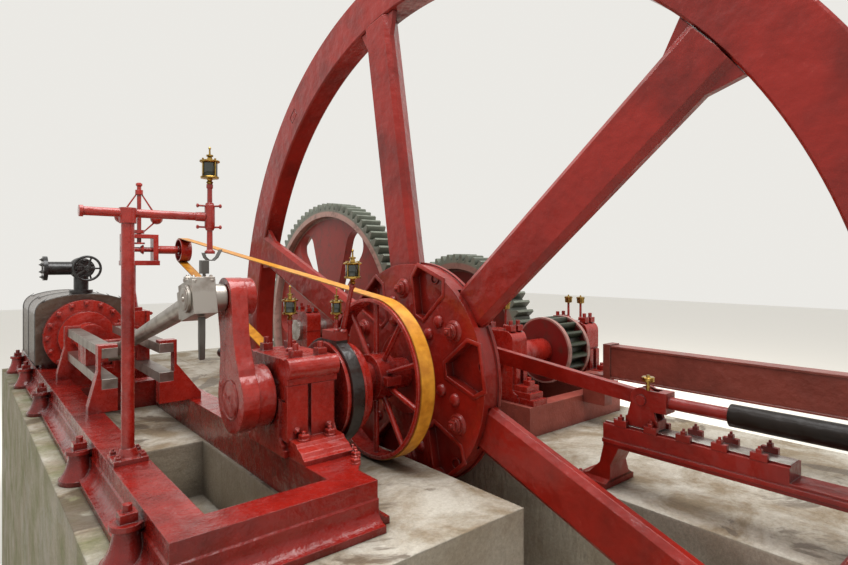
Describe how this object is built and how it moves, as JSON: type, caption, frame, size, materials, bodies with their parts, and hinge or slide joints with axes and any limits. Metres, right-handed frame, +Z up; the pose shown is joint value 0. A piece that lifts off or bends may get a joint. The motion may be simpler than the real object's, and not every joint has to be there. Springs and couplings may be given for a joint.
{
  "type": "horizontal mill steam engine",
  "caption": "Horizontal steam engine with overhung crank, built-up flywheel, belt-driven governor, double-reduction gearing and a crank-driven ram pump.",
  "frame": {"origin": "underside of the foundation, below the crankshaft at the flywheel's mid plane", "axes": "+X along the crankshaft away from the crank, +Y towards the steam cylinder, +Z up"},
  "size_m": [4.497, 10.15, 6.6598],
  "materials": {
    "concrete": "cast concrete, worn, with white patches",
    "red_paint": "gloss oil paint over cast iron",
    "dark_red_paint": "gloss oil paint",
    "bright_steel": "turned and oiled",
    "gear_grey": "greasy cast teeth",
    "belt": "dressed belting",
    "black_iron": "blackened",
    "brass": "polished",
    "lagging": "painted sheet lagging",
    "bronze": "dark oiled bronze"
  },
  "bodies": {
    "engine_bed": {"left_block": "concrete", "right_plinth": "concrete", "pit_slab": "concrete", "bedplate": "red_paint", "steam_cylinder": "red_paint", "cylinder_lagging": "lagging", "cylinder_covers": "red_paint", "steam_chest": "red_paint", "stop_valve": "black_iron", "slide_bars": "bright_steel", "guide_brackets": "red_paint", "main_pedestal": "red_paint", "main_cap": "red_paint", "bearing_oiler": "brass", "oiler_column": "red_paint", "drip_oiler": "brass", "governor_stand": "red_paint", "governor_belt": "belt", "sole_plate": "red_paint", "outboard_pedestals": "red_paint", "gear_pedestals": "red_paint", "tie_girder": "dark_red_paint", "guide_trestle": "red_paint", "guide_keepers": "red_paint", "pump_barrel": "dark_red_paint"},
    "crankshaft": {"crankshaft": "red_paint", "crank_web": "red_paint", "eccentric_sheave": "red_paint", "drive_pulley": "red_paint", "flywheel_hub": "red_paint", "flywheel_arms": "red_paint", "flywheel_rim": "red_paint", "shrouded_pinion": "gear_grey"},
    "eccentric_strap": {"eccentric_strap": "black_iron", "strap_oilers": "brass"},
    "second_motion": {"second_shaft": "bright_steel", "spur_wheel": "gear_grey", "mill_pinion": "gear_grey"},
    "mill_drive": {"mill_shaft": "bright_steel", "mill_wheel": "gear_grey"},
    "governor_shaft": {"governor_shaft": "red_paint"},
    "governor_spindle": {"governor_spindle": "red_paint"},
    "crosshead": {"crosshead": "red_paint", "piston_rod": "bright_steel"},
    "connecting_rod": {"connecting_rod": "bright_steel", "crank_pin": "bright_steel"},
    "pump_crosshead": {"pump_crosshead": "red_paint", "pump_ram": "bronze"},
    "pump_rod": {"pump_rod": "red_paint"},
    "valve_handwheel": {"valve_handwheel": "black_iron"}
  },
  "joints": [
    {"name": "crankshaft_turn", "type": "hinge", "parent": "engine_bed", "child": "crankshaft", "pos_m": [0, 0, 3.48], "axis": [1, 0, 0], "continuous": true},
    {"name": "eccentric_turn", "type": "hinge", "parent": "crankshaft", "child": "eccentric_strap", "pos_m": [-0.777, 0.039, 3.434], "axis": [1, 0, 0], "continuous": true},
    {"name": "second_motion_turn", "type": "hinge", "parent": "engine_bed", "child": "second_motion", "pos_m": [1.3, 1.2294, 3.4], "axis": [1, 0, 0], "continuous": true},
    {"name": "mill_turn", "type": "hinge", "parent": "engine_bed", "child": "mill_drive", "pos_m": [1.3, 3.18599, 3.44], "axis": [1, 0, 0], "continuous": true},
    {"name": "governor_shaft_turn", "type": "hinge", "parent": "engine_bed", "child": "governor_shaft", "pos_m": [-0.5, 4.43, 4.46], "axis": [1, 0, 0], "continuous": true},
    {"name": "governor_spindle_turn", "type": "hinge", "parent": "engine_bed", "child": "governor_spindle", "pos_m": [-0.96, 4.43, 4.46], "axis": [0, 0, 1], "continuous": true},
    {"name": "crosshead_slide", "type": "slide", "parent": "engine_bed", "child": "crosshead", "axis": [0, 1, 0], "range_m": [-0.64082, 0.57918]},
    {"name": "connecting_rod_swing", "type": "hinge", "parent": "crosshead", "child": "connecting_rod", "pos_m": [-1.62, 2.47082, 3.48], "axis": [1, 0, 0], "range_deg": [-0.22, 28.73]},
    {"name": "pump_slide", "type": "slide", "parent": "engine_bed", "child": "pump_crosshead", "axis": [0, 1, 0], "range_m": [-0.66127, 0.03873]},
    {"name": "pump_rod_swing", "type": "hinge", "parent": "pump_crosshead", "child": "pump_rod", "pos_m": [0.43, -1.56873, 3.48], "axis": [1, 0, 0], "range_deg": [-16.07, 5.39]},
    {"name": "stop_valve_turn", "type": "hinge", "parent": "engine_bed", "child": "valve_handwheel", "pos_m": [-1.62, 3.83, 4.23], "axis": [0, -1, 0], "continuous": true}
  ],
  "couplings": [
    {"joint": "eccentric_turn", "follows": "crankshaft_turn", "ratio": -1},
    {"joint": "second_motion_turn", "follows": "crankshaft_turn", "ratio": -0.28333},
    {"joint": "mill_turn", "follows": "crankshaft_turn", "ratio": 0.064087},
    {"joint": "governor_shaft_turn", "follows": "crankshaft_turn", "ratio": 3.7333},
    {"joint": "governor_spindle_turn", "follows": "crankshaft_turn", "ratio": 3.7333}
  ]
}
